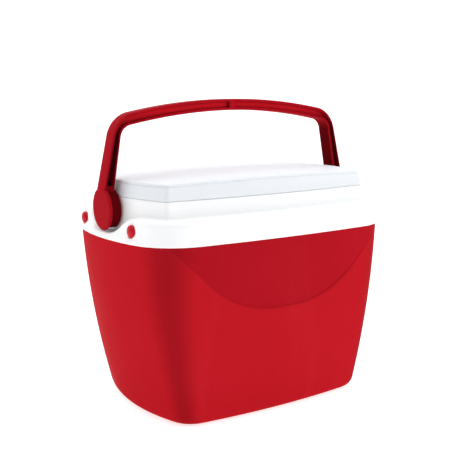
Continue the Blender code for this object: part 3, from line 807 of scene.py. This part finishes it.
def moulded(name, colour, deep, pale, rough, grain=0.35, wear=0.35, specular=0.5, shade=None, hollow=None,
            corner=None, glow=0.0):
    """Moulded plastic: cloudy colour, fine spark-eroded grain, faint flow lines, rubbed edges.

    shade is (axis, start, end, darkest, full): painted shade, the tone runs from darkest to full along an
    axis.
    hollow is (distance, darkest): painted shade, corners and pockets are darkened by how closed in they are.
    corner is the tone where the mesh is marked as a corner: painted shade, darker on the corners' rounds.
    """
    k = Nodes(name)
    cloud = k.noise(14.0, 3.0, 0.5)
    flow = k.noise(30.0, 4.0, 0.6, (1.0, 1.0, 0.18))
    body = k.mix(k.spread(cloud, 0.30, 0.70, 0.0, 1.0), deep, colour)
    body = k.mix(k.spread(flow, 0.58, 0.80, 0.0, 0.35), body, pale)
    point = k.node("ShaderNodeNewGeometry").outputs["Pointiness"]
    rub = k.spread(point, 0.515, 0.60, 0.0, wear)
    patch = k.spread(k.noise(95.0, 4.0, 0.7), 0.42, 0.66, 0.0, 1.0)
    rubbed = k.node("ShaderNodeMath", operation="MULTIPLY")
    k.link(rub, rubbed.inputs[0])
    k.link(patch, rubbed.inputs[1])
    body = k.mix(rubbed.outputs[0], body, pale)
    if shade:
        axis, start, end, darkest, full = shade
        split = k.node("ShaderNodeSeparateXYZ")
        k.link(k.coords, split.inputs[0])
        body = k.dim(body, k.spread(split.outputs[axis], start, end, darkest, full))
    # Painted shade on the marked corners.
    if corner:
        mark = k.node("ShaderNodeAttribute", attribute_name="corner_shade")
        body = k.dim(body, k.spread(mark.outputs["Fac"], 0.0, 1.0, 1.0, corner))
    # Painted light: the colour glows as an emission, which lifts the shading.
    if glow:
        k.link(body, k.shader.inputs["Emission Color"])
        k.shader.inputs["Emission Strength"].default_value = glow
    # Painted shade from how closed in a point is.
    if hollow:
        distance, darkest = hollow
        cavity = k.node("ShaderNodeAmbientOcclusion", Distance=distance, samples=8)
        body = k.dim(body, k.spread(cavity.outputs["AO"], 0.45, 0.92, darkest, 1.0))
    k.link(body, k.shader.inputs["Base Color"])
    smudge = k.noise(22.0, 5.0, 0.65)
    scuff = k.noise(240.0, 3.0, 0.7, (1.0, 1.0, 0.25))
    smudged = k.spread(smudge, 0.30, 0.72, rough - 0.05, rough + 0.06)
    tone = k.add(smudged, k.spread(scuff, 0.55, 0.85, 0.0, 0.10))
    k.link(tone, k.shader.inputs["Roughness"])
    grain_height = k.add(k.noise(2600.0, 2.0, 0.5), k.times(k.noise(620.0, 3.0, 0.55), 1.6))
    k.bump(grain_height, grain, 0.00003)
    k.shader.inputs["Specular IOR Level"].default_value = specular
    k.shader.inputs["IOR"].default_value = 1.49
    return k.mat


def foam(name):
    """Expanded foam: pressed beads with fine seams."""
    k = Nodes(name)
    cells = k.node("ShaderNodeTexVoronoi", Scale=330.0)
    k.link(k.coords, cells.inputs["Vector"])
    seam = k.node("ShaderNodeTexVoronoi", Scale=330.0, feature="DISTANCE_TO_EDGE")
    k.link(k.coords, seam.inputs["Vector"])
    bead = k.spread(cells.outputs["Distance"], 0.0, 0.8, 0.0, 1.0)
    tint = k.mix(bead, linear(244, 244, 240), linear(228, 229, 226))
    line = k.spread(seam.outputs["Distance"], 0.0, 0.08, 1.0, 0.0)
    k.link(k.mix(line, tint, linear(206, 208, 205)), k.shader.inputs["Base Color"])
    k.link(k.spread(cells.outputs["Distance"], 0.0, 0.8, 0.72, 0.88), k.shader.inputs["Roughness"])
    k.bump(seam.outputs["Distance"], 0.5, 0.0004)
    return k.mat


# Painted shade: the tub is darker on its corners' rounds, as if shaded there.
RED = moulded("red_tub", linear(186, 26, 37), linear(182, 24, 34), linear(192, 36, 47), 0.42,
              specular=0.002, corner=0.76)
# Painted shade: the recessed panel is darker than the tub, darker still towards its left end.
RED_PANEL_SHADE = moulded("red_tub_panel_shade", linear(188, 25, 38), linear(184, 23, 35), linear(194, 36, 48), 0.36,
                    specular=0.002, shade=(0, -0.090, 0.100, 0.80, 0.86), corner=0.82)
# Painted shade: the handle darkens in its creases and corners by how closed in they are.
RED_HANDLE = moulded("red_handle", linear(168, 21, 33), linear(163, 18, 30), linear(177, 34, 45), 0.38,
                     0.28, specular=0.003, hollow=(0.0016, 0.60))
# Painted shade: the handle's channel and the bosses' hubs, darker towards the bottom of the arms and darkest
# in the channel's corners.
RED_RECESS_SHADE = moulded("red_handle_recess_shade", linear(204, 27, 40), linear(198, 24, 36), linear(208, 33, 45), 0.50,
                     0.28, wear=0.1, specular=0.003, shade=(2, 0.262, 0.284, 0.20, 1.0),
                     hollow=(0.0024, 0.10))
# Painted shade: the flanges' edges darken towards the bottom of the arms.
RED_RIM_SHADE = moulded("red_handle_rim_shade", linear(178, 19, 33), linear(172, 17, 30), linear(184, 28, 41), 0.42,
                  0.28, wear=0.2, specular=0.003, shade=(2, 0.262, 0.284, 0.46, 0.95))
RED_STUD = moulded("red_stud", linear(194, 17, 34), linear(186, 13, 30), linear(200, 40, 52), 0.24,
                   0.12, specular=0.15)
# Painted light: the collar's white glows a little, which lifts its shaded sides.
WHITE = moulded("white_collar", linear(248, 249, 250), linear(246, 248, 249), linear(250, 250, 251), 0.40,
                0.25, specular=0.10, glow=0.04)
LINER = moulded("white_liner", linear(248, 248, 249), linear(243, 244, 246), linear(252, 252, 252), 0.33,
                0.20)
LID = moulded("white_lid", linear(234, 238, 242), linear(232, 236, 241), linear(238, 242, 245), 0.50,
              0.35, specular=0.03)
FOAM = foam("bead_foam")


def paint(thing, *mats):
    """Give a piece its materials and keep which face has which."""
    faces = [face.material_index for face in thing.data.polygons]
    thing.data.materials.clear()
    for mat in mats:
        thing.data.materials.append(mat)
    for face, index in zip(thing.data.polygons, faces):
        face.material_index = min(index, len(mats) - 1)


def repaint(node, mat):
    """Give a carried-over CAD node a material."""
    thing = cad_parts[node]
    for slot in thing.material_slots:
        slot.material = mat


# ---- the pieces --------------------------------------------------------------------------------
tub = build_tub()
paint(tub, RED, RED_PANEL_SHADE)
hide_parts("outer_tub")
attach(tub, "cooler_body")

collar = build_collar()
paint(collar, WHITE)
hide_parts("collar")
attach(collar, "cooler_body")

for stud, node in build_studs():
    paint(stud, RED_STUD)
    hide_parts(node)
    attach(stud, "cooler_body")

lid = build_lid()
paint(lid, LID)
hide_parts("lid_top")
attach(lid, "lid")

handle = build_handle()
paint(handle, RED_HANDLE, RED_RECESS_SHADE, RED_RIM_SHADE)
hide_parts("carry_handle")
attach(handle, "handle")

repaint("inner_liner", LINER)
repaint("lid_underside", LINER)
repaint("body_insulation", FOAM)
repaint("lid_insulation", FOAM)


# ---- stage, light and camera -------------------------------------------------------------------
# the camera's angles, in radians: turned to the right from +Y, tilted down, rolled
CAMERA_YAW = 0.55536
CAMERA_PITCH = 0.16049
CAMERA_ROLL = -0.01306
CAMERA_PLACE = (-0.43110, -0.68607, 0.29863)
FOCAL_WIDTHS = 1.785            # focal length in picture widths
SENSOR_MM = 36.0


def backdrop():
    """Pale floor that sweeps up into a wall behind the object."""
    front, bend, radius, height, half_width = -3.0, 1.6, 1.0, 4.0, 5.0
    profile = [(front, 0.0), (bend, 0.0)]
    for i in range(1, 13):
        turn = math.radians(90.0 * i / 12)
        profile.append((bend + radius * math.sin(turn), radius * (1 - math.cos(turn))))
    profile.append((bend + radius, height))
    verts = []
    for side in (-half_width, half_width):
        verts += [(side, y, z) for y, z in profile]
    count = len(profile)
    faces = [(i, i + 1, count + i + 1, count + i) for i in range(count - 1)]
    sweep = mesh_piece("studio_sweep", verts, faces)
    k = Nodes("studio_paper")
    k.shader.inputs["Roughness"].default_value = 0.9
    k.shader.inputs["Specular IOR Level"].default_value = 0.1
    cloud = k.spread(k.noise(3.0, 2.0), 0.3, 0.7, 0.0, 1.0)
    k.link(k.mix(cloud, linear(214, 214, 214), linear(212, 212, 213)), k.shader.inputs["Base Color"])
    k.shader.inputs["Emission Color"].default_value = (1.0, 1.0, 1.0, 1.0)
    k.shader.inputs["Emission Strength"].default_value = 0.70
    paint(sweep, k.mat)
    sweep.rotation_euler = (0.0, 0.0, -CAMERA_YAW)


def area_light(name, place, aim, size, power, glossy=True):
    """Rectangular lamp at place, turned towards aim."""
    data = bpy.data.lights.new(name, "AREA")
    data.shape = "RECTANGLE"
    data.size, data.size_y = size
    data.energy = power
    lamp = bpy.data.objects.new(name, data)
    lamp.location = place
    lamp.rotation_euler = (Vector(aim) - Vector(place)).to_track_quat("-Z", "Y").to_euler()
    lamp.visible_glossy = glossy
    bpy.context.scene.collection.objects.link(lamp)


def set_world(strength, dark_side, darkest):
    """White surroundings of the given strength, which falls to darkest towards dark_side."""
    world = bpy.data.worlds.new("studio")
    bpy.context.scene.world = world
    world.use_nodes = True
    tree = world.node_tree
    coords = tree.nodes.new("ShaderNodeTexCoord")
    along = tree.nodes.new("ShaderNodeVectorMath")
    along.operation = "DOT_PRODUCT"
    along.inputs[1].default_value = dark_side
    ramp = tree.nodes.new("ShaderNodeMapRange")
    ramp.inputs["From Min"].default_value = 0.0
    ramp.inputs["From Max"].default_value = 0.85
    ramp.inputs["To Min"].default_value = strength
    ramp.inputs["To Max"].default_value = darkest
    tree.links.new(coords.outputs["Generated"], along.inputs[0])
    tree.links.new(along.outputs["Value"], ramp.inputs["Value"])
    back = tree.nodes["Background"]
    back.inputs["Color"].default_value = (1.0, 1.0, 1.0, 1.0)
    tree.links.new(ramp.outputs["Result"], back.inputs["Strength"])


def set_camera():
    """Camera at the photograph's angle."""
    level = math.cos(CAMERA_PITCH)
    forward = Vector((math.sin(CAMERA_YAW) * level, math.cos(CAMERA_YAW) * level, -math.sin(CAMERA_PITCH)))
    right = Vector((math.cos(CAMERA_YAW), -math.sin(CAMERA_YAW), 0.0))
    up = right.cross(forward)
    turned_right = math.cos(CAMERA_ROLL) * right + math.sin(CAMERA_ROLL) * up
    turned_up = -math.sin(CAMERA_ROLL) * right + math.cos(CAMERA_ROLL) * up
    data = bpy.data.cameras.new("camera")
    data.sensor_width = SENSOR_MM
    data.lens = FOCAL_WIDTHS * SENSOR_MM
    camera = bpy.data.objects.new("camera", data)
    place = Matrix((turned_right, turned_up, -forward)).transposed().to_4x4()
    place.translation = Vector(CAMERA_PLACE)
    camera.matrix_world = place
    bpy.context.scene.collection.objects.link(camera)
    bpy.context.scene.camera = camera


backdrop()
area_light("key", (1.5, -1.5, 0.95), (0.0, 0.0, 0.12), (1.2, 1.2), 12.6)
area_light("side", (-0.85, 0.52, 0.52), (-0.10, 0.02, 0.20), (0.45, 0.45), 1.1, glossy=False)
area_light("top", (0.0, 0.1, 1.7), (0.0, 0.0, 0.1), (1.8, 1.6), 12.3)
set_world(0.72, (-0.6, -0.8, 0.0), 0.42)
set_camera()
bpy.context.scene.view_settings.view_transform = "Standard"
bpy.context.scene.view_settings.look = "None"
